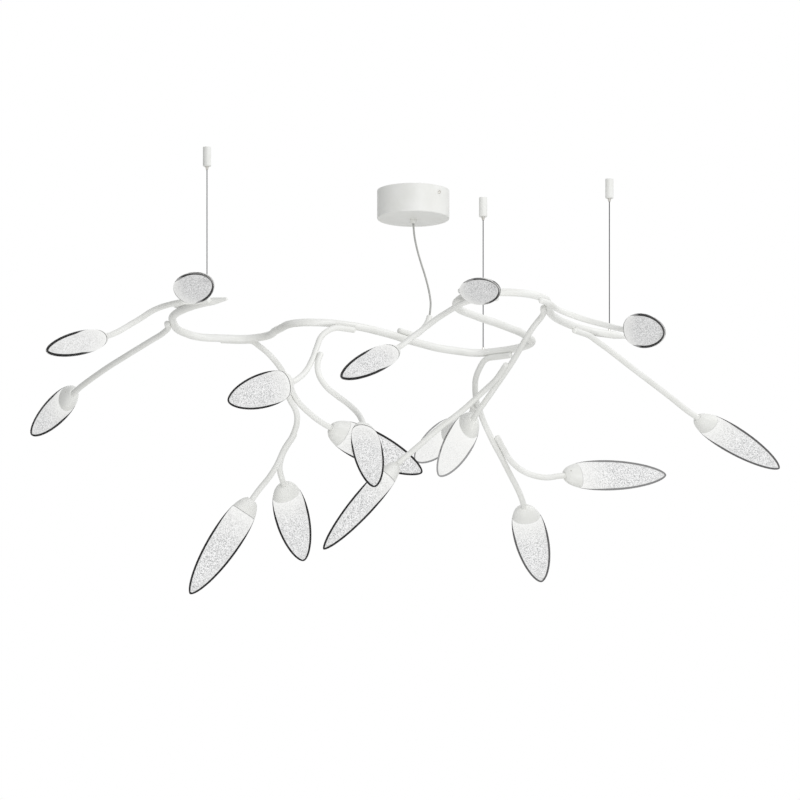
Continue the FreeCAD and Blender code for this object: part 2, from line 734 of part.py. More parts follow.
fixing_holes = [bound("Part::Cylinder", f"fixing_hole_{side}",
                      (f"{sign} * dims.fixing_spacing / 2", "0", "-2 * dims.bracket_thickness"),
                      Radius="dims.fixing_hole_diameter / 2", Height="3 * dims.bracket_thickness")
                for side, sign in (("left", -1), ("right", 1))]
supply_hole = bound("Part::Cylinder", "supply_hole",
                    ("0", "-dims.supply_hole_offset", "-2 * dims.bracket_thickness"),
                    Radius="dims.supply_hole_diameter / 2", Height="3 * dims.bracket_thickness")
ear_hole = bound("Part::Cylinder", "ear_hole", beyond_cover, across,
                 Radius="dims.cover_screw_diameter / 2 + dims.fit_clearance / 4",
                 Height="2 * dims.canopy_diameter")
pieces.append(cut("canopy_bracket", bracket_solid, *fixing_holes, supply_hole, ear_hole))


def cover_screw(side):
    """A cover screw: a shank through cover and ear, and a low round head with a slot."""
    outward = screw_line * side
    seat = size("canopy_diameter") / 2 + size("fit_clearance") / 2
    ear_outside = size("canopy_diameter") / 2 - size("canopy_wall") - size("bracket_ear_clearance")
    tip = ear_outside - size("cover_screw_reach")
    place = Vec(0, 0, -size("cover_screw_drop"))
    shank = rod(tip, seat, size("cover_screw_diameter") / 2, outward, place)
    head_height = size("cover_screw_head_height")
    head = Part.makeCone(size("cover_screw_head_diameter") / 2, size("cover_screw_head_diameter") / 3,
                         head_height, place + outward * seat, outward)
    slot = Part.makeBox(head_height, 1, size("cover_screw_head_diameter"),
                        Vec(seat + head_height / 2, -0.5, -size("cover_screw_head_diameter") / 2))
    slot.Placement = FreeCAD.Placement(place, FreeCAD.Rotation(Vec(1, 0, 0), outward))
    return shank.fuse(head).cut(slot)


group("canopy_screws", [cover_screw(1), cover_screw(-1)])

driver_block = bound("Part::Box", "driver_block",
                     ("-dims.driver_length / 2", "dims.driver_offset",
                      "-dims.bracket_thickness - dims.driver_height"),
                     Length="dims.driver_length", Width="dims.driver_width", Height="dims.driver_height")
doc.recompute()
driver = doc.addObject("Part::Fillet", "led_driver")
driver.Base = driver_block
upright = [number for number, edge in enumerate(driver_block.Shape.Edges, start=1)
           if abs(edge.tangentAt(edge.FirstParameter).z) > 0.5]
driver.Edges = [(number, size("driver_edge_round"), size("driver_edge_round")) for number in upright]
pieces.append(driver)

terminal_low = "-dims.bracket_thickness - dims.terminal_height"
terminal_body = bound("Part::Box", "terminal_body",
                      ("-dims.terminal_length / 2", "-dims.terminal_offset - dims.terminal_width",
                       terminal_low),
                      Length="dims.terminal_length", Width="dims.terminal_width",
                      Height="dims.terminal_height")
terminal_holes = [bound("Part::Cylinder", f"terminal_hole_{way + 2}",
                        (f"{way} * dims.terminal_pitch",
                         "-dims.terminal_offset - dims.terminal_width / 2", terminal_low),
                        Radius="dims.terminal_screw_diameter / 2", Height="dims.terminal_screw_depth")
                  for way in (-1, 0, 1)]
pieces.append(cut("terminal_block", terminal_body, *terminal_holes))

# Cord grip: a collar under the cover, a neck through it and a nut above its floor.

grip_collar = bound("Part::Cylinder", "grip_collar", ("0", "0", "-dims.canopy_height - dims.grip_length"),
                    Radius="dims.grip_diameter / 2", Height="dims.grip_length")
neck_height = "dims.canopy_wall + dims.grip_nut_height + 1"
grip_neck = bound("Part::Cylinder", "grip_neck", ("0", "0", "-dims.canopy_height"),
                  Radius="dims.grip_neck_diameter / 2", Height=neck_height)
grip_bore = bound("Part::Cylinder", "grip_bore", ("0", "0", "-dims.canopy_height - 2 * dims.grip_length"),
                  Radius="dims.cord_diameter / 2 + dims.cord_clearance", Height="dims.canopy_height")
pieces.append(cut("cord_grip", fuse("grip_body", grip_collar, grip_neck), grip_bore))
nut_block = bound("Part::Prism", "nut_block", ("0", "0", "dims.canopy_wall - dims.canopy_height"),
                  Circumradius="dims.grip_nut_diameter / 2", Height="dims.grip_nut_height")
nut_block.Polygon = 6
nut_bore = bound("Part::Cylinder", "nut_bore", ("0", "0", "-dims.canopy_height"),
                 Radius="(dims.grip_neck_diameter + dims.fit_clearance) / 2", Height="dims.canopy_height / 2")
pieces.append(cut("cord_grip_nut", nut_block, nut_bore))

# Wire grippers: a barrel on the ceiling with a sprung release nose, and a wire through both.


def gripper_barrel(place):
    radius, height, chamfer = size("gripper_diameter") / 2, size("gripper_height"), size("gripper_chamfer")
    top = Vec(place.x, place.y, 0)
    body = Part.makeCylinder(radius, height - chamfer, top, -UP)
    foot = Part.makeCone(radius, radius - chamfer, chamfer, top - UP * (height - chamfer), -UP)
    thread = Part.makeCylinder(size("gripper_thread_diameter") / 2, size("gripper_thread_depth"), top, -UP)
    pocket_depth = size("nose_shank_length") + size("nose_travel_room")
    pocket = Part.makeCylinder(size("nose_diameter") / 2 + size("wire_clearance"), pocket_depth,
                               top - UP * height, UP)
    wire_way = Part.makeCylinder(WIRE_RADIUS + size("wire_clearance"), height - size("wire_tail"),
                                 top - UP * height, UP)
    return body.fuse(foot).removeSplitter().cut(thread).cut(pocket).cut(wire_way)


group("gripper_barrels", [gripper_barrel(place) for place in wire_places.values()])

for name, (drawn_x, drawn_y) in WIRE_PLAN.items():
    x = f"dims.frame_width * {drawn_x / DRAWN_WIDTH}"
    y = f"dims.frame_width * {drawn_y / DRAWN_WIDTH}"
    nose_point = bound("Part::Cone", f"nose_point_{name}",
                       (x, y, "-dims.gripper_height - dims.nose_point_length"),
                       Radius1="dims.nose_point_diameter / 2", Radius2="dims.nose_diameter / 2",
                       Height="dims.nose_point_length")
    nose_shank = bound("Part::Cylinder", f"nose_shank_{name}", (x, y, "-dims.gripper_height"),
                       Radius="dims.nose_diameter / 2", Height="dims.nose_shank_length")
    nose_bore = bound("Part::Cylinder", f"nose_bore_{name}", (x, y, "-2 * dims.gripper_height"),
                      Radius="dims.wire_diameter / 2 + dims.wire_clearance", Height="2 * dims.gripper_height")
    pieces.append(cut(f"release_nose_{name}", fuse(f"nose_body_{name}", nose_point, nose_shank), nose_bore))
    wire_foot = "-dims.hang_drop + dims.trunk_diameter / 2 - dims.ferrule_reach"
    pieces.append(bound("Part::Cylinder", f"suspension_wire_{name}", (x, y, wire_foot),
                        Radius="dims.wire_diameter / 2",
                        Height=f"-dims.wire_tail - dims.wire_clearance - ({wire_foot})"))


def ferrule(place):
    """A small screw-in end on top of the trunk, with a blind bore for the wire."""
    floor = size("ferrule_floor")
    foot = place + UP * (TRUNK_RADIUS - size("ferrule_reach") - floor)
    height = size("ferrule_reach") + floor + size("ferrule_stand")
    body = Part.makeCylinder(size("ferrule_diameter") / 2, height, foot, UP)
    bore = Part.makeCylinder(WIRE_RADIUS + size("wire_clearance"), height,
                             foot + UP * (floor - size("wire_clearance")), UP)
    return body.cut(bore)


group("wire_ferrules", [ferrule(place) for place in wire_places.values()])

doc.recompute()
for item in doc.Objects:
    if "Invalid" in item.State or "Error" in item.State:
        raise RuntimeError(f"{item.Label} did not build: {item.State}")
for piece in pieces:
    if piece.Shape.isNull() or not piece.Shape.isValid() or not piece.Shape.Solids:
        raise RuntimeError(f"{piece.Label} has no sound solid")

os.makedirs("parts", exist_ok=True)
for piece in pieces:
    piece.Shape.exportStep(f"parts/{piece.Label}.step")
print(f"{len(pieces)} pieces, {sum(len(piece.Shape.Solids) for piece in pieces)} solids")
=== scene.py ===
# %% [markdown]
# # A branch ceiling light
# A long bent tube hangs level under the ceiling on three thin steel wires. Smaller tubes leave it on all sides,
# and each one ends in a leaf: a white metal cap and a hollow almond of seeded glass with a light in its neck.
# The metal parts are already solid models, so this lesson loads them, gives every surface its finish, and makes
# anew what a solid modeller draws too stiffly: the glass, the stranded wires and the power cord.

# %% Load the solids and keep their box
import json
import math

import bpy
import numpy as np
from mathutils import Matrix, Vector


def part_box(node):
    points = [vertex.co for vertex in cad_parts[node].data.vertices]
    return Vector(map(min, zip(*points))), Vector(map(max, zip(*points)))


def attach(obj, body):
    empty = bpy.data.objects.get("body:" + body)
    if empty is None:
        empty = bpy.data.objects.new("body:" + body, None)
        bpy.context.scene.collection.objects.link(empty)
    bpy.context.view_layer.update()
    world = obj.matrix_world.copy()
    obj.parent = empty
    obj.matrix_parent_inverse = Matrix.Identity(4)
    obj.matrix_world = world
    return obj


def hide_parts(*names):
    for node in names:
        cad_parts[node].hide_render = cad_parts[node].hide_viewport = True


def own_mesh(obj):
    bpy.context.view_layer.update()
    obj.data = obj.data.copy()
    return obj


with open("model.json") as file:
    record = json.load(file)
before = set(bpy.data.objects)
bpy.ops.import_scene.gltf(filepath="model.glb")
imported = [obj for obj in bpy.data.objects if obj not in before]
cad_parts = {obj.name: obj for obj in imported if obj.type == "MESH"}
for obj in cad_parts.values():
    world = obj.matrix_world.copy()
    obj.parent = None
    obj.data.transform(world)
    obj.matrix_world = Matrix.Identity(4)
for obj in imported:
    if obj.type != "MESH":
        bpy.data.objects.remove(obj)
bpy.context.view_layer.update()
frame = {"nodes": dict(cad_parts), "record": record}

scene = bpy.context.scene
nodes = frame["nodes"]
MM = 0.001

# %% [markdown]
# ## Camera
# The picture was taken from a long way off, a little below the light, so parallel lines stay parallel. An
# orthographic camera does the same. Its frame is 1.66 metres wide, and it stands well in front of the branch.

# %% Camera
VIEW_RISE = math.radians(12.84)
FRAME_WIDTH = 1.66
CAMERA_DISTANCE = 8.0
FRAME_CENTRE_RIGHT = -0.0275
FRAME_CENTRE_UP = -0.4341
FRAME_CENTRE_DEPTH = -0.268

look = Vector((0, math.cos(VIEW_RISE), math.sin(VIEW_RISE)))
screen_up = Vector((0, -math.sin(VIEW_RISE), math.cos(VIEW_RISE)))
screen_right = Vector((1, 0, 0))
aim = screen_right * FRAME_CENTRE_RIGHT + screen_up * FRAME_CENTRE_UP + look * FRAME_CENTRE_DEPTH
stand = aim - look * CAMERA_DISTANCE

camera = bpy.data.objects.new("camera", bpy.data.cameras.new("camera"))
scene.collection.objects.link(camera)
camera.data.type = "ORTHO"
camera.data.ortho_scale = FRAME_WIDTH
camera.data.clip_start = 0.1
camera.data.clip_end = 50.0
camera.matrix_world = Matrix.Translation(stand) @ look.to_track_quat("-Z", "Y").to_matrix().to_4x4()
scene.camera = camera
print(f"camera {CAMERA_DISTANCE:.1f} m from the branch, frame {FRAME_WIDTH} m wide")

# %% [markdown]
# ## Small helpers
# Colours are written as they look on a screen, so one function turns a hex value into the linear numbers that
# a shader needs. Another adds a node with its settings and links, and a third wraps arrays of points and faces
# in a mesh object that rides on a body of the light.

# %% Helpers for colours, nodes and meshes


def linear(hex_colour):
    """sRGB hex to linear: divide by 12.92 in the toe, and raise to 2.4 above it."""
    share = np.array([int(hex_colour[i:i + 2], 16) for i in (1, 3, 5)]) / 255
    toe = share / 12.92
    curve = ((share + 0.055) / 1.055) ** 2.4
    return (*np.where(share <= 0.04045, toe, curve).tolist(), 1.0)


def add(tree, kind, inputs=None, **settings):
    """Add a node, set its properties, and set or link its inputs."""
    made = tree.nodes.new(kind)
    for name, value in settings.items():
        setattr(made, name, value)
    for socket, value in (inputs or {}).items():
        if isinstance(value, bpy.types.NodeSocket):
            tree.links.new(value, made.inputs[socket])
        else:
            made.inputs[socket].default_value = value
    return made


def stops(ramp_node, *places):
    """Give a colour ramp its (position, hex colour) stops."""
    ramp = ramp_node.color_ramp
    while len(ramp.elements) < len(places):
        ramp.elements.new(0.5)
    for element, (position, hex_colour) in zip(ramp.elements, places):
        element.position = position
        element.color = linear(hex_colour)
    return ramp_node


def fresh_material(name):
    """An empty node material and its tree."""
    material = bpy.data.materials.new(name)
    material.use_nodes = True
    material.node_tree.nodes.clear()
    return material, material.node_tree


def finish_material(tree, shader):
    """Send a shader to the material's output."""
    add(tree, "ShaderNodeOutputMaterial", {"Surface": shader.outputs[0]})


def grid_faces(rows, columns, start=0, flip=False):
    """Quads of a grid of points, row after row, joined round the columns."""
    row, column = np.meshgrid(np.arange(rows - 1), np.arange(columns), indexing="ij")
    following = (column + 1) % columns
    quads = np.stack([row * columns + column, row * columns + following,
                      (row + 1) * columns + following, (row + 1) * columns + column], -1)
    quads = quads.reshape(-1, 4) + start
    return quads[:, ::-1] if flip else quads


def piece(name, points, faces, body, material, replaced):
    """A mesh object at the origin with its place in its points, riding on a body."""
    mesh = bpy.data.meshes.new(name)
    mesh.from_pydata(points.tolist(), [], [face.tolist() if hasattr(face, "tolist") else face for face in faces])
    mesh.polygons.foreach_set("use_smooth", np.full(len(mesh.polygons), True))
    mesh.materials.append(material)
    mesh.update()
    made = bpy.data.objects.new(name, mesh)
    scene.collection.objects.link(made)
    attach(made, body)
    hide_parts(*replaced)
    return made


# %% [markdown]
# ## Grey cord sheath and steel wire
# The power cord has a smooth grey PVC sheath that is slightly dull. The suspension wires are bundles of fine
# drawn steel strands, so they shine along their length and look darker than the white metal. Both are too thin
# for much pattern: the cord gets a faint mottling, and the wire's strands are real geometry.

# %% Cord and wire materials
cord_sheath, tree = fresh_material("grey_pvc_sheath")
place = add(tree, "ShaderNodeTexCoord")
mottle = add(tree, "ShaderNodeTexNoise", {"Vector": place.outputs["Object"], "Scale": 1 / (3 * MM), "Detail": 3.0})
tint = stops(add(tree, "ShaderNodeValToRGB", {"Fac": mottle.outputs["Fac"]}), (0.3, "#A8A8A5"), (0.7, "#B6B6B3"))
finish_material(tree, add(tree, "ShaderNodeBsdfPrincipled", {
    "Base Color": tint.outputs["Color"], "Roughness": 0.5, "IOR": 1.53}))

steel_wire, tree = fresh_material("drawn_steel_strands")
place = add(tree, "ShaderNodeTexCoord")
draw_marks = add(tree, "ShaderNodeTexNoise", {"Vector": place.outputs["Object"], "Scale": 1 / (1.2 * MM),
                                              "Detail": 2.0})
tint = stops(add(tree, "ShaderNodeValToRGB", {"Fac": draw_marks.outputs["Fac"]}), (0.3, "#2C2D30"), (0.7, "#393A3D"))
finish_material(tree, add(tree, "ShaderNodeBsdfPrincipled", {
    "Base Color": tint.outputs["Color"], "Metallic": 0.7, "Roughness": 0.45}))

# %% [markdown]
# ## The power cord
# The cord drops out of the grip under the canopy, hangs in one slack bow, and goes into the feed tube on the
# trunk. A NURBS spline through a few control points bends as a cord does. Blender turns that spline into points,
# and a round section is carried along them. The cord shortens with the hanging height, because its slack is
# taken up into the canopy; here it is one fixed mesh.

# %% Power cord
CORD_DIAMETER = 4 * MM
CORD_ROUTE = np.array([
    (0, 0, -46), (0, 0, -78), (4, 1, -108), (13, 2, -144), (26, 3, -184), (35, 3.5, -222),
    (37, 4, -250), (30.5, -0.5, -284)]) * MM


def spline_points(route, resolution):
    """The points of a smooth spline that has the route's points as its control points."""
    data = bpy.data.curves.new("route", "CURVE")
    data.dimensions = "3D"
    data.resolution_u = resolution
    spline = data.splines.new("NURBS")
    spline.points.add(len(route) - 1)
    spline.points.foreach_set("co", np.column_stack([route, np.ones(len(route))]).ravel())
    spline.order_u = 3
    spline.use_endpoint_u = True
    holder = bpy.data.objects.new("route", data)
    mesh = bpy.data.meshes.new_from_object(holder)
    points = np.zeros(len(mesh.vertices) * 3)
    mesh.vertices.foreach_get("co", points)
    bpy.data.objects.remove(holder)
    bpy.data.curves.remove(data)
    bpy.data.meshes.remove(mesh)
    return points.reshape(-1, 3)


def carried(path, section):
    """Carry a section along a path. section gives a ring of (across, up) offsets for every path point, and each
    ring stands square to the path, with its across direction kept as near to +Y as it can be."""
    along = np.gradient(path, axis=0)
    along /= np.linalg.norm(along, axis=1, keepdims=True)
    across = np.cross(along, np.cross(np.array([0.0, 1.0, 0.0]), along))
    across /= np.linalg.norm(across, axis=1, keepdims=True)
    upright = np.cross(along, across)
    rings = path[:, None] + section[..., :1] * across[:, None] + section[..., 1:] * upright[:, None]
    return rings.reshape(-1, 3)


def tube_faces(rows, columns):
    """The wall of a carried tube and a flat cap on each end."""
    wall = list(grid_faces(rows, columns, flip=True))
    return wall + [np.arange(columns), np.arange(columns)[::-1] + (rows - 1) * columns]


def round_section(rows, columns, radius):
    """The same circle for every row: radius times the cosine and sine of the turn."""
    turn = np.linspace(0, 2 * np.pi, columns, endpoint=False)
    ring = np.stack([np.cos(turn), np.sin(turn)], -1) * radius
    return np.broadcast_to(ring, (rows, columns, 2))


def run_length(path):
    """Length of a path: the sum of the distances between its points."""
    return float(np.linalg.norm(np.diff(path, axis=0), axis=1).sum())


CORD_SIDES = 24
CORD_RESOLUTION = 16
cord_path = spline_points(CORD_ROUTE, CORD_RESOLUTION)
cord_rings = round_section(len(cord_path), CORD_SIDES, CORD_DIAMETER / 2)
cord = piece("power_cord_sheath", carried(cord_path, cord_rings), tube_faces(len(cord_path), CORD_SIDES),
             "ceiling_fixings", cord_sheath, ["power_cord"])
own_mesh(cord)
print(f"power cord {run_length(cord_path) * 1000:.0f} mm long")

# %% [markdown]
# ## The suspension wires
# Each wire is a seven-strand steel rope pulled straight by the light's weight. A straight route needs no bend,
# so only its section is worth work: six outer strands make a ring of six lobes, and the ring turns as it goes
# down, one turn in about six diameters, as a real lay does.

# %% Suspension wires
WIRE_DIAMETER = 2 * MM
WIRE_ENDS = {"left": (-428, -406), "middle": (145, 65), "right": (407, -108)}
WIRE_TOP = -16.3 * MM
WIRE_FOOT = -327 * MM
STRANDS = 6
STRAND_DEPTH = 0.08
LAY_LENGTH = 12 * MM
WIRE_SIDES = 36
WIRE_ROWS = 400


def stranded_section(heights, columns):
    """Radius of a six-strand rope: the full radius less a share of the lobes' hollows, turned with the height."""
    turn = np.linspace(0, 2 * np.pi, columns, endpoint=False)
    twist = 2 * np.pi * heights[:, None] / LAY_LENGTH
    hollow = 1 - np.abs(np.cos(STRANDS / 2 * (turn - twist)))
    radius = WIRE_DIAMETER / 2 * (1 - STRAND_DEPTH * hollow)
    return np.stack([np.cos(turn) * radius, np.sin(turn) * radius], -1)


for side, (x, y) in WIRE_ENDS.items():
    ends = np.array([(x * MM, y * MM, WIRE_TOP), (x * MM, y * MM, WIRE_FOOT)])
    path = ends[0] + np.linspace(0, 1, WIRE_ROWS)[:, None] * (ends[1] - ends[0])
    rope = piece(f"wire_{side}_strands", carried(path, stranded_section(path[:, 2], WIRE_SIDES)),
                 tube_faces(WIRE_ROWS, WIRE_SIDES), "ceiling_fixings", steel_wire,
                 [f"suspension_wire_{side}"])
    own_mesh(rope)
print("three wires of", round((WIRE_TOP - WIRE_FOOT) * 1000), "mm")

# %% [markdown]
# ## Powder-coated metal
# The tubes, caps, canopy and wire grippers are steel with a satin white powder coat. Baked powder flows out
# into a skin with a very slight orange peel, a few tenths of a millimetre from crest to crest. Drawn at its true
# size it would vanish at this distance, so it is a little coarser here. The white is warm, and it is never quite
# even: the coat is thinner on some stretches, which shows as a faint change of tone over a few centimetres.

# %% Powder coat
powder_coat, tree = fresh_material("satin_powder_coat")
place = add(tree, "ShaderNodeTexCoord")
drift = add(tree, "ShaderNodeTexNoise", {"Vector": place.outputs["Object"], "Scale": 1 / (45 * MM), "Detail": 3.0})
tint = stops(add(tree, "ShaderNodeValToRGB", {"Fac": drift.outputs["Fac"]}), (0.35, "#EDEDEA"), (0.65, "#F2F2F0"))
peel = add(tree, "ShaderNodeTexNoise", {"Vector": place.outputs["Object"], "Scale": 1 / (1.4 * MM), "Detail": 2.0})
gloss = add(tree, "ShaderNodeMapRange", {"Value": drift.outputs["Fac"], "To Min": 0.42, "To Max": 0.52})
relief = add(tree, "ShaderNodeBump", {"Height": peel.outputs["Fac"], "Strength": 0.12, "Distance": 0.2 * MM})
finish_material(tree, add(tree, "ShaderNodeBsdfPrincipled", {
    "Base Color": tint.outputs["Color"], "Roughness": gloss.outputs["Result"], "IOR": 1.5,
    "Normal": relief.outputs["Normal"]}))

# %% [markdown]
# ## Seeded glass
# Each leaf is blown glass with a clear outer skin. Its inside is full of seeds, tiny burst bubbles that scatter
# the module's light and make the leaf sparkle grey and white, so that nothing shows through it. One material is
# the clear skin and another is the seeded inside.
#
# The wall is about five millimetres thick, and the eye sees it edge on all round the leaf. Light that goes into
# the wall there runs on inside it and is lost in the smoky glass before it finds a way out, so the leaf draws its
# own dark outline, as wide as the wall. The skin below does that: it lets light in freely, and takes nearly all of
# what tries to leave the wall through it again. Backfacing tells the two apart, and an attribute called smoke says
# how much is lost. The index is set low, because the two faces of a thin wall cancel most of each other's bend.

# %% Clear outer skin
clear_glass, tree = fresh_material("clear_smoky_glass")
place = add(tree, "ShaderNodeTexCoord")
waves = add(tree, "ShaderNodeTexNoise", {"Vector": place.outputs["Object"], "Scale": 1 / (14 * MM), "Detail": 1.0})
relief = add(tree, "ShaderNodeBump", {"Height": waves.outputs["Fac"], "Strength": 0.1, "Distance": 0.5 * MM})
smoke = add(tree, "ShaderNodeAttribute", attribute_name="smoke")
wall = add(tree, "ShaderNodeNewGeometry")
trapped = add(tree, "ShaderNodeMath", {0: wall.outputs["Backfacing"], 1: smoke.outputs["Fac"]}, operation="MULTIPLY")
passed = stops(add(tree, "ShaderNodeValToRGB", {"Fac": trapped.outputs[0]}), (0.0, "#FFFFFF"), (1.0, "#030303"))
finish_material(tree, add(tree, "ShaderNodeBsdfPrincipled", {
    "Base Color": passed.outputs["Color"], "Roughness": 0.02, "IOR": 1.01, "Transmission Weight": 1.0,
    "Normal": relief.outputs["Normal"]}))

# %% [markdown]
# The seeds are one to three millimetres across. A noise of that size makes the salt and pepper, and the same noise
# raises the surface a little. The light module in the neck makes the end near the cap glow, and the seeds drown in
# that glow: an attribute called seeds brings them out along the leaf. Another one runs from 0 at the cap to 1 at
# the tip. On it a ramp paints a thin grey line of painted shade where the glass meets the cap, and dims the glow a
# little towards the tip.

# %% Seeded inside
SEED_SIZE = 2.4 * MM
seeded_inside, tree = fresh_material("seeded_glass_inside")
place = add(tree, "ShaderNodeTexCoord")
along = add(tree, "ShaderNodeAttribute", attribute_name="along")
shaded_glow = add(tree, "ShaderNodeAttribute", attribute_name="shaded_glow")
seeds = add(tree, "ShaderNodeTexNoise", {"Vector": place.outputs["Object"], "Scale": 1 / SEED_SIZE, "Detail": 2.0,
                                         "Roughness": 0.7})
salt = stops(add(tree, "ShaderNodeValToRGB", {"Fac": seeds.outputs["Fac"]}), (0.36, "#A6A7A7"), (0.58, "#FFFFFF"))
seeds_shown = add(tree, "ShaderNodeAttribute", attribute_name="seeds")
# Painted shade: this ramp's grey first stop paints a thin shadow line at the seam where the glass meets the cap; its
# last stop dims the glow a little towards the tip.
ends = stops(add(tree, "ShaderNodeValToRGB", {"Fac": along.outputs["Fac"]}), (0.0, "#8C8C8C"), (0.01, "#FFFFFF"),
             (0.85, "#FFFFFF"), (1.0, "#EFEFEF"))
# The colour mix has its colour inputs in places 6 and 7 and its colour output in place 2.
speckle = add(tree, "ShaderNodeMix", {0: seeds_shown.outputs["Fac"], 6: linear("#F4F4F2"), 7: salt.outputs["Color"]},
              data_type="RGBA")
even_light = add(tree, "ShaderNodeMix", {0: 1.0, 6: speckle.outputs[2], 7: ends.outputs["Color"]},
                 data_type="RGBA", blend_type="MULTIPLY")
# Painted shade: where the leaf's glow share read above is below 1, this darkens its whole glow to stand in for its
# shading.
light = add(tree, "ShaderNodeMix", {0: shaded_glow.outputs["Fac"], 6: linear("#000000"), 7: even_light.outputs[2]},
            data_type="RGBA")
relief = add(tree, "ShaderNodeBump", {"Height": seeds.outputs["Fac"], "Strength": 0.3, "Distance": 0.4 * MM})
finish_material(tree, add(tree, "ShaderNodeBsdfPrincipled", {
    "Base Color": linear("#4A4B4B"), "Roughness": 0.8, "IOR": 1.3, "Normal": relief.outputs["Normal"],
    "Emission Color": light.outputs[2], "Emission Strength": 1.0}))
# The glow is weak beside the lamps, so it is met by chance and not searched for as a lamp, which saves time.
seeded_inside.cycles.emission_sampling = "NONE"

# %% [markdown]
# ## The glass leaves
# A leaf is an almond: its half width rises as a power of the distance from the neck and falls as another power
# towards the tip. That curve, turned about the leaf's axis and flattened, gives the outer skin, and the curve less
# the wall gives the inside. The wall is thin in the cap's neck and soon reaches its full thickness in the body.
# Each skin is one grid of points, and a flat rim joins the two at the seam. No two blown leaves are alike, so a
# table gives some of them a speckle, a wall or a smokiness of their own. It also gives four of them a lower glow,
# which is painted shade that darkens them.

# %% Glass leaves
LEAF_LENGTH = 234 * MM
LEAF_HALF_WIDTH = 36.5 * MM
LEAF_HALF_THICKNESS = 25 * MM
BELLY = 0.4
MOUTH_HALF = 8.3 * MM
SEAM = 30 * MM
GLASS_NECK_WALL = 1.2 * MM
# Painted light: the smoke is lower at the neck, so the outline pales there as if the module's light filled the wall.
NECK_SMOKE_FOR_MODULE_LIGHT = 0.85
SMOKE_RISE = (0, 0.1)
SEEDS_RISE = (-0.1, 0.38)
LEAST_HALF = 0.1 * MM
LEAF_ROWS = 72
LEAF_SIDES = 72
TIP_CROWDING = 1.2
NECK_SAMPLES = 2001

# Each leaf's cap mouth in millimetres below the ceiling, then its heading, droop and roll in degrees.
LEAVES = {
    "01": ((-647, -516, -430), -120, 18, 0), "02": ((-705, 95, -409), 112, 9, -69),
    "03": ((-479, -455, -323), -76, 5, -33), "04": ((-255, -325, -482), -126, 20, 90),
    "05": ((-335, 56, -645), 163, 55, 32), "06": ((-269, 106, -601), 78, 30, -28),
    "07": ((-171, 55, -492), 32, 17, -50), "08": ((-103, -298, -569), -83, 45, -30),
    "09": ((-34, -57, -596), 174, 49, -10), "10": ((-41, -482, -450), -120, 25, 2),
    "11": ((117, -525, -341), -77, 8, -21), "12": ((125, -58, -498), 109, 18, 77),
    "13": ((88, 209, -456), 111, 4, -80), "14": ((446, -450, -399), -71, 13, -75),
    "15": ((590, 65, -468), 40, 19, -2), "16": ((314, 247, -550), 25, -6, 58),
    "17": ((230, 320, -600), 80, 29, 0),
}

# glow is a share of the full glow, lowered on four leaves as painted shade, seeds a share of the full speckle,
# wall the body's wall in millimetres, growth the share of the leaf over which that wall is reached, and smoke the
# share of the light that is lost in it.
EVEN_GLASS = {"glow": 1.0, "seeds": 1.0, "wall": 4.6, "growth": 0.35, "smoke": 1.0}
# Painted shade: a glow below 1 darkens a leaf's whole glow to stand in for the shading it shows.
OWN_GLASS = {
    "01": {"wall": 6.6, "seeds": 0.7},
    "02": {"wall": 5.3, "glow": 0.94},
    "03": {"wall": 6.5, "glow": 0.84, "growth": 0.12},
    "10": {"wall": 6.2},
    "11": {"wall": 6.5, "glow": 0.82, "growth": 0.12},
    "12": {"smoke": 0.89, "seeds": 0.28},
    "13": {"smoke": 0.92, "seeds": 0.4},
    "14": {"wall": 6.5, "glow": 0.87, "growth": 0.12},
    "15": {"smoke": 0.985},
    "16": {"smoke": 0.94},
    "17": {"smoke": 0.985},
}


def almond(share):
    """Half width as a share of the widest: (s/b)^b times ((1-s)/(1-b))^(1-b), which is 1 at the belly b."""
    return (share / BELLY) ** BELLY * ((1 - share) / (1 - BELLY)) ** (1 - BELLY)


neck_shares = np.linspace(0, BELLY, NECK_SAMPLES)
MOUTH_SHARE = float(np.interp(MOUTH_HALF / LEAF_HALF_THICKNESS, almond(neck_shares), neck_shares))


def leaf_radius(distance_from_mouth):
    """Half width at a distance: the widest half width times the almond's share there."""
    share = MOUTH_SHARE + (1 - MOUTH_SHARE) * distance_from_mouth / LEAF_LENGTH
    return LEAF_HALF_WIDTH * almond(np.clip(share, 0, 1))


def leaf_skin(distances, wall):
    """Points of one skin in the leaf's own axes: the radius formula turned about the axis and flattened, less the
    wall in width and thickness."""
    turn = np.linspace(0, 2 * np.pi, LEAF_SIDES, endpoint=False)
    radius = leaf_radius(distances)
    half_wide = np.maximum(radius - wall, LEAST_HALF)
    half_thick = np.maximum(radius * LEAF_HALF_THICKNESS / LEAF_HALF_WIDTH - wall, LEAST_HALF)
    x = np.broadcast_to(distances[:, None], (len(distances), LEAF_SIDES))
    y = half_wide[:, None] * np.cos(turn)
    z = half_thick[:, None] * np.sin(turn)
    return np.stack([x, y, z], -1).reshape(-1, 3)


def leaf_axes(heading, droop, roll):
    """Rows: the leaf's own length, width and thickness as directions in the room."""
    h, d, r = np.radians([heading, droop, roll])
    axis = np.array([np.cos(d) * np.cos(h), np.cos(d) * np.sin(h), -np.sin(d)])
    level = np.cross([0, 0, 1], axis)
    level /= np.linalg.norm(level)
    wide = level * np.cos(r) + np.cross(axis, level) * np.sin(r)
    return np.stack([axis, wide, np.cross(axis, wide)])


# Rows crowd towards the round tip, and the last row of each skin is left out for one point at the pole.
row_shares = np.sin(np.linspace(0, np.pi / 2, LEAF_ROWS + 1)[:-1]) ** TIP_CROWDING


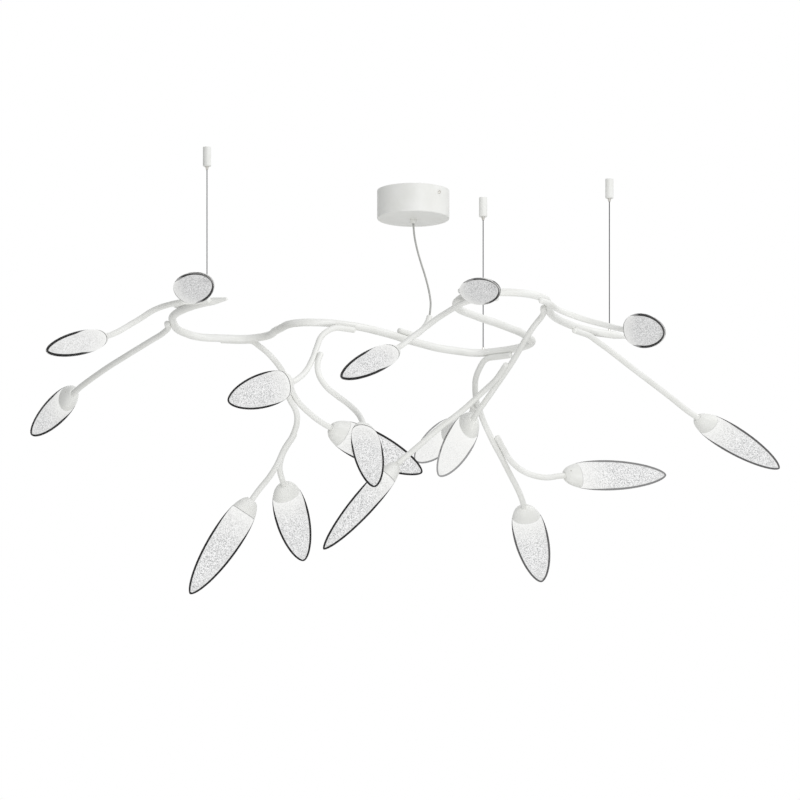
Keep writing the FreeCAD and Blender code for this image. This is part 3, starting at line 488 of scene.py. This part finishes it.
def leaf_cloud(body_wall, growth):
    """Both skins and their two poles. The wall goes from the neck's to the body's by 3t^2 - 2t^3, where t is the
    share of the stretch over which it grows."""
    grown = np.clip(row_shares / growth, 0, 1)
    wall = GLASS_NECK_WALL + grown ** 2 * (3 - 2 * grown) * (body_wall - GLASS_NECK_WALL)
    outer = leaf_skin(SEAM + row_shares * (LEAF_LENGTH - SEAM), 0)
    inner = leaf_skin(SEAM + row_shares * (LEAF_LENGTH - SEAM - body_wall), wall)
    return np.concatenate([outer, inner, [(LEAF_LENGTH, 0, 0), (LEAF_LENGTH - body_wall, 0, 0)]])


skin_size = LEAF_ROWS * LEAF_SIDES
sides = np.arange(LEAF_SIDES)
next_side = (sides + 1) % LEAF_SIDES
last_ring = skin_size - LEAF_SIDES
rim = np.stack([sides, sides + skin_size, next_side + skin_size, next_side], -1)
outer_tip = np.stack([sides + last_ring, next_side + last_ring, np.full(LEAF_SIDES, 2 * skin_size)], -1)
inner_tip = np.stack([next_side + last_ring + skin_size, sides + last_ring + skin_size,
                      np.full(LEAF_SIDES, 2 * skin_size + 1)], -1)
outside_faces = [*grid_faces(LEAF_ROWS, LEAF_SIDES), *outer_tip, *rim]
inside_faces = [*grid_faces(LEAF_ROWS, LEAF_SIDES, start=skin_size, flip=True), *inner_tip]
skin_material = np.repeat([0, 1], [len(outside_faces), len(inside_faces)])


def spread(leaf, name, values):
    """Store one number for every point of a leaf, where its material reads it."""
    leaf.data.attributes.new(name, "FLOAT", "POINT").data.foreach_set("value", values.astype(np.float32))


for name, (mouth, heading, droop, roll) in LEAVES.items():
    glass = {**EVEN_GLASS, **OWN_GLASS.get(name, {})}
    leaf_points = leaf_cloud(glass["wall"] * MM, glass["growth"])
    along_leaf = (leaf_points[:, 0] - SEAM) / (LEAF_LENGTH - SEAM)
    placed = np.array(mouth) * MM + leaf_points @ leaf_axes(heading, droop, roll)
    leaf = piece(f"leaf_{name}_seeded_glass", placed, outside_faces + inside_faces, "hanging_frame",
                 clear_glass, [f"leaf_glass_{name}"])
    leaf.data.materials.append(seeded_inside)
    leaf.data.polygons.foreach_set("material_index", skin_material)
    spread(leaf, "along", along_leaf)
    spread(leaf, "shaded_glow", np.full(len(placed), glass["glow"]))
    spread(leaf, "seeds", glass["seeds"] * np.interp(along_leaf, SEEDS_RISE, [0, 1]))
    # Painted light: the lower smoke at the neck pales the outline there to stand in for the module's light in the
    # wall.
    spread(leaf, "smoke", glass["smoke"] * np.interp(along_leaf, SMOKE_RISE, [NECK_SMOKE_FOR_MODULE_LIGHT, 1]))
    low, high = (np.array(corner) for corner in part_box(f"leaf_glass_{name}"))
    apart = max(np.abs(placed.min(0) - low).max(), np.abs(placed.max(0) - high).max())
    print(f"leaf {name}: box within {apart * 1000:.2f} mm of its solid")

# %% [markdown]
# ## The smaller finishes
# Behind the canopy and in the caps are the parts that are seldom seen: zinc-plated steel, nickel-plated
# fasteners, white moulded plastic, silicone seals and the opal face of the light modules. Each one still gets
# its own surface, because the light can be looked at from above and with its cover in the hand.

# %% Zinc, nickel, plastic, rubber and opal
# Zinc plating is a cool grey with a fine spangle, and its gloss changes from grain to grain.
zinc_steel, tree = fresh_material("zinc_plated_steel")
place = add(tree, "ShaderNodeTexCoord")
spangle = add(tree, "ShaderNodeTexVoronoi", {"Vector": place.outputs["Object"], "Scale": 1 / (4 * MM)})
tint = stops(add(tree, "ShaderNodeValToRGB", {"Fac": spangle.outputs["Distance"]}),
             (0.1, "#B4B7BA"), (0.8, "#C8CACC"))
rough = add(tree, "ShaderNodeMapRange", {"Value": spangle.outputs["Distance"], "To Min": 0.3, "To Max": 0.45})
finish_material(tree, add(tree, "ShaderNodeBsdfPrincipled", {
    "Base Color": tint.outputs["Color"], "Metallic": 1.0, "Roughness": rough.outputs["Result"]}))

# Nickel on turned screws is warmer than zinc, with a satin gloss that fine turning marks break up.
satin_nickel, tree = fresh_material("satin_nickel_plate")
place = add(tree, "ShaderNodeTexCoord")
turning = add(tree, "ShaderNodeTexNoise", {"Vector": place.outputs["Object"], "Scale": 1 / (0.8 * MM), "Detail": 2.0})
tint = stops(add(tree, "ShaderNodeValToRGB", {"Fac": turning.outputs["Fac"]}), (0.3, "#BDBBB6"), (0.7, "#CDCBC6"))
rough = add(tree, "ShaderNodeMapRange", {"Value": turning.outputs["Fac"], "To Min": 0.28, "To Max": 0.4})
finish_material(tree, add(tree, "ShaderNodeBsdfPrincipled", {
    "Base Color": tint.outputs["Color"], "Metallic": 1.0, "Roughness": rough.outputs["Result"]}))

# Moulded polycarbonate takes the mould's fine spark texture, so its white has a soft, even sheen.
moulded_plastic, tree = fresh_material("white_moulded_polycarbonate")
place = add(tree, "ShaderNodeTexCoord")
spark = add(tree, "ShaderNodeTexNoise", {"Vector": place.outputs["Object"], "Scale": 1 / (0.9 * MM), "Detail": 2.0})
tint = stops(add(tree, "ShaderNodeValToRGB", {"Fac": spark.outputs["Fac"]}), (0.3, "#E9E9E5"), (0.7, "#F1F1EE"))
relief = add(tree, "ShaderNodeBump", {"Height": spark.outputs["Fac"], "Strength": 0.2, "Distance": 0.1 * MM})
finish_material(tree, add(tree, "ShaderNodeBsdfPrincipled", {
    "Base Color": tint.outputs["Color"], "Roughness": 0.55, "IOR": 1.58, "Normal": relief.outputs["Normal"]}))

# Silicone is a milky off-white with no sharp reflection.
silicone, tree = fresh_material("translucent_silicone")
place = add(tree, "ShaderNodeTexCoord")
cloud = add(tree, "ShaderNodeTexNoise", {"Vector": place.outputs["Object"], "Scale": 1 / (2 * MM), "Detail": 2.0})
tint = stops(add(tree, "ShaderNodeValToRGB", {"Fac": cloud.outputs["Fac"]}), (0.3, "#DADAD6"), (0.7, "#E6E6E2"))
finish_material(tree, add(tree, "ShaderNodeBsdfPrincipled", {
    "Base Color": tint.outputs["Color"], "Roughness": 0.6, "IOR": 1.41}))

# Opal acrylic is smooth, and the light behind it makes it glow evenly in a slightly warm white.
opal_diffuser, tree = fresh_material("opal_acrylic_diffuser")
place = add(tree, "ShaderNodeTexCoord")
cloud = add(tree, "ShaderNodeTexNoise", {"Vector": place.outputs["Object"], "Scale": 1 / (3 * MM), "Detail": 2.0})
tint = stops(add(tree, "ShaderNodeValToRGB", {"Fac": cloud.outputs["Fac"]}), (0.3, "#F7F5EE"), (0.7, "#FFFDF8"))
finish_material(tree, add(tree, "ShaderNodeBsdfPrincipled", {
    "Base Color": tint.outputs["Color"], "Roughness": 0.4, "IOR": 1.49,
    "Emission Color": linear("#FFFAEE"), "Emission Strength": 1.2}))
opal_diffuser.cycles.emission_sampling = "NONE"

# %% [markdown]
# ## Dressing the solids
# The record already says which finish every solid has, so one table turns the finish's name into the material
# made above, and a loop puts it on every solid.

# %% Give every solid its material
FINISHES = {
    "powder_coat": powder_coat, "seeded_glass": clear_glass, "zinc_steel": zinc_steel, "nickel": satin_nickel,
    "steel_wire": steel_wire, "cord_sheath": cord_sheath, "white_plastic": moulded_plastic,
    "led_diffuser": opal_diffuser, "seal_rubber": silicone,
}
for row in frame["record"]["subparts"]:
    solid = nodes[row["node"]]
    solid.data.materials.clear()
    solid.data.materials.append(FINISHES[row["material_slot"]])

# %% [markdown]
# ## Studio
# The light hangs in front of plain white. The world is white for what the camera sees directly, in reflections
# and through glass, and a softer grey for the light it gives, so that the white metal keeps its shading. The two
# strongest of four soft lamps stand in front and to the right, which leaves the left sides a little darker. A weaker
# one hangs above, and a small one below lifts the undersides. A pale floor lies well below. Lamps are hidden from
# the camera, so that they never cover the object in another view.

# %% World, lamps and floor
scene.view_settings.view_transform = "Standard"
AMBIENT = "#AFB0B0"
BRANCH_MIDDLE = Vector((0, -0.1, -0.4))
FLOOR_HEIGHT = -3.0
FLOOR_HALF = 30.0
FLOOR_WHITE = 0.75


def seen_directly(tree):
    """1 for what the camera sees, straight or in a reflection or through glass, and 0 for light on its way."""
    rays = add(tree, "ShaderNodeLightPath")
    straight = add(tree, "ShaderNodeMath", {0: rays.outputs["Is Camera Ray"], 1: rays.outputs["Is Glossy Ray"]},
                   operation="MAXIMUM")
    return add(tree, "ShaderNodeMath", {0: straight.outputs[0], 1: rays.outputs["Is Transmission Ray"]},
               operation="MAXIMUM").outputs[0]


world = bpy.data.worlds.new("studio")
scene.world = world
world.use_nodes = True
world.node_tree.nodes.clear()
seen = seen_directly(world.node_tree)
ambient = add(world.node_tree, "ShaderNodeBackground", {"Color": linear(AMBIENT), "Strength": 1.0})
backdrop = add(world.node_tree, "ShaderNodeBackground", {"Color": (1, 1, 1, 1), "Strength": 1.0})
sky = add(world.node_tree, "ShaderNodeMixShader", {0: seen, 1: ambient.outputs[0], 2: backdrop.outputs[0]})
add(world.node_tree, "ShaderNodeOutputWorld", {"Surface": sky.outputs[0]})


def soft_lamp(name, place, across, power):
    """A round lamp aimed at the middle of the branch. Its width is in metres and its power in watts."""
    data = bpy.data.lights.new(name, "AREA")
    data.shape = "DISK"
    data.size = across
    data.energy = power
    made = bpy.data.objects.new(name, data)
    scene.collection.objects.link(made)
    made.location = place
    made.rotation_euler = (BRANCH_MIDDLE - Vector(place)).to_track_quat("-Z", "Y").to_euler()
    made.visible_camera = False


soft_lamp("front", (1.8, -4.6, 0.8), across=2.4, power=78)
soft_lamp("right", (3.8, -0.1, 2.8), across=2.4, power=66)
soft_lamp("top", (0, -1.3, 3.9), across=2.4, power=22)
soft_lamp("low", (-0.3, -1.8, -2.4), across=1.0, power=15)

corners = np.array([(-1, -1), (1, -1), (1, 1), (-1, 1)]) * FLOOR_HALF
floor_mesh = bpy.data.meshes.new("floor")
floor_mesh.from_pydata(np.column_stack([corners, np.full(4, FLOOR_HEIGHT)]).tolist(), [], [(0, 1, 2, 3)])
floor = bpy.data.objects.new("floor", floor_mesh)
scene.collection.objects.link(floor)
# Matt paint that shows mostly as the backdrop's white, and keeps a share of its own shade for the shadow.
floor_paint, tree = fresh_material("pale_floor_paint")
matt = add(tree, "ShaderNodeBsdfDiffuse", {"Color": linear("#F4F4F2")})
white = add(tree, "ShaderNodeEmission", {"Color": (1, 1, 1, 1), "Strength": 1.0})
seen = add(tree, "ShaderNodeMath", {0: seen_directly(tree), 1: FLOOR_WHITE}, operation="MULTIPLY")
paint = add(tree, "ShaderNodeMixShader", {0: seen.outputs[0], 1: matt.outputs[0], 2: white.outputs[0]})
# From below, the floor isn't there, so that the light can also be looked up at from under the floor's height.
underside = add(tree, "ShaderNodeNewGeometry")
nothing = add(tree, "ShaderNodeBsdfTransparent")
finish_material(tree, add(tree, "ShaderNodeMixShader", {
    0: underside.outputs["Backfacing"], 1: paint.outputs[0], 2: nothing.outputs[0]}))
# The floor's white is for the eye alone, so it isn't searched for as a lamp either.
floor_paint.cycles.emission_sampling = "NONE"
floor_mesh.materials.append(floor_paint)
